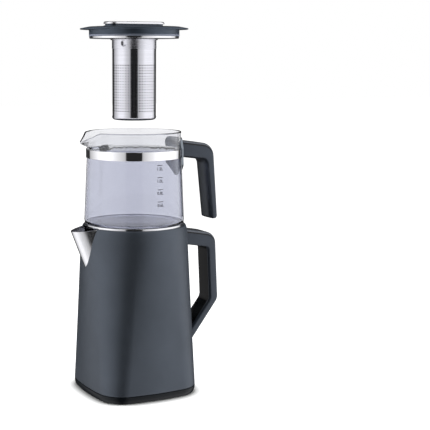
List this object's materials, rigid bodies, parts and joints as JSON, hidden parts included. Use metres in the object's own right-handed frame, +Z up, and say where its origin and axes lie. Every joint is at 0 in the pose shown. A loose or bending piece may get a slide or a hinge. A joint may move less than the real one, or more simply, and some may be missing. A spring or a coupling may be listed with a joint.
{
  "type": "tea maker",
  "caption": "Electric kettle on a power base with a glass teapot stacked on its mouth, and a lid that carries a perforated infuser, lifted above the teapot.",
  "frame": {"origin": "centre of the power base's underside, on the surface its feet stand on", "axes": "+Z up; both handles point to +X and both spouts to -X; the XZ plane is the plane of symmetry"},
  "size_m": [0.217, 0.148, 0.5018],
  "materials": {
    "base_shell": "glossy black",
    "dark_plastic": "moulded, fine grain",
    "rubber_black": "matt",
    "silicone": "smooth silicone",
    "screw_steel": "zinc plated",
    "kettle_grey": "charcoal, satin",
    "steel": "brushed stainless",
    "steel_pot": "satin stainless",
    "cast_aluminium": "as cast",
    "handle_grey": "charcoal, satin",
    "handle_cover_grey": "lighter grey, satin",
    "gloss_black": "glossy black",
    "clear_glass": "clear borosilicate",
    "bright_chrome": "polished",
    "lid_grey": "charcoal, satin"
  },
  "bodies": {
    "base": {"base_cover": "base_shell", "base_plate": "dark_plastic", "base_feet": "rubber_black", "base_screws": "screw_steel", "base_connector": "dark_plastic", "cord_gland": "rubber_black"},
    "kettle": {"kettle_shell": "kettle_grey", "kettle_pot": "steel_pot", "kettle_ring": "steel", "kettle_plate": "dark_plastic", "kettle_screws": "screw_steel", "heating_plate": "cast_aluminium", "heating_element": "steel", "thermostat_control": "dark_plastic", "kettle_handle": "handle_grey", "kettle_handle_insert": "gloss_black", "kettle_handle_cover": "handle_cover_grey", "kettle_handle_screws": "screw_steel", "switch_bezel": "dark_plastic", "switch_block": "dark_plastic"},
    "switch": {"switch_lever": "gloss_black"},
    "teapot": {"teapot_glass": "clear_glass", "teapot_band": "bright_chrome", "teapot_shield": "steel", "teapot_handle": "handle_grey", "teapot_handle_cover": "handle_cover_grey", "teapot_handle_screw": "screw_steel"},
    "lid": {"lid_cover": "lid_grey", "lid_seal": "silicone", "lid_under_ring": "steel", "lid_boss": "dark_plastic", "lid_screws": "screw_steel", "lid_knob": "lid_grey", "lid_knob_trim": "bright_chrome", "lid_knob_cap": "handle_cover_grey", "lid_knob_screws": "screw_steel"},
    "infuser": {"infuser_collar": "steel", "infuser_tube": "steel", "infuser_base": "steel"}
  },
  "joints": [
    {"name": "kettle_lift", "type": "slide", "parent": "base", "child": "kettle", "axis": [0, 0, 1], "range_m": [0, 0.06]},
    {"name": "switch_toggle", "type": "hinge", "parent": "kettle", "child": "switch", "pos_m": [0.06846, 0, 0.026], "axis": [0, 1, 0], "range_deg": [0, 14]},
    {"name": "teapot_lift", "type": "slide", "parent": "kettle", "child": "teapot", "axis": [0, 0, 1], "range_m": [0, 0.12]},
    {"name": "lid_lift", "type": "slide", "parent": "teapot", "child": "lid", "axis": [0, 0, 1], "range_m": [-0.1347, 0]},
    {"name": "infuser_twist", "type": "hinge", "parent": "lid", "child": "infuser", "pos_m": [0, 0, 0.4732], "axis": [0, 0, 1], "range_deg": [0, 28]}
  ]
}
